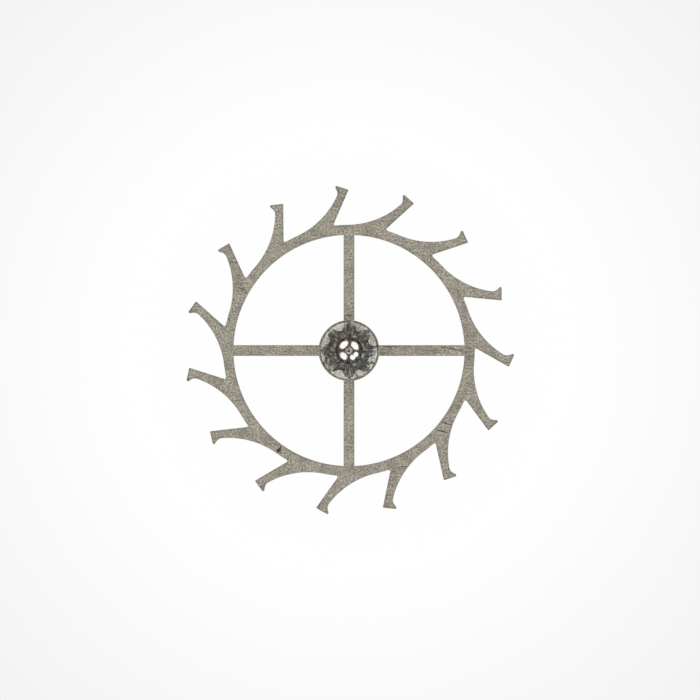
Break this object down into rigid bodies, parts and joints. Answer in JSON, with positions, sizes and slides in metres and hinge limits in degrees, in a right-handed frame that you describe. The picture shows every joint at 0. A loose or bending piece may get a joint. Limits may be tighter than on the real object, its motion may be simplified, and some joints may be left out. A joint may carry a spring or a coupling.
{
  "type": "escape wheel",
  "caption": "Club-toothed steel escape wheel with crossed arms, riveted on its pinion. It turns on pivots, locked and released by the pallets of a lever escapement.",
  "frame": {"origin": "on the arbor's axis, at the shoulder of the lower pivot", "axes": "+Z along the arbor from the lower pivot to the upper pivot, on the pinion's side of the wheel; +X along one arm of the wheel; the teeth lean clockwise seen from +Z"},
  "size_m": [0.0048, 0.0048, 0.0029],
  "materials": {
    "lapped_steel": "fine lapped, matt grey",
    "polished_steel": "polished, tempered"
  },
  "bodies": {
    "root": {"escape_wheel": "lapped_steel", "escape_pinion": "polished_steel"}
  },
  "joints": []
}
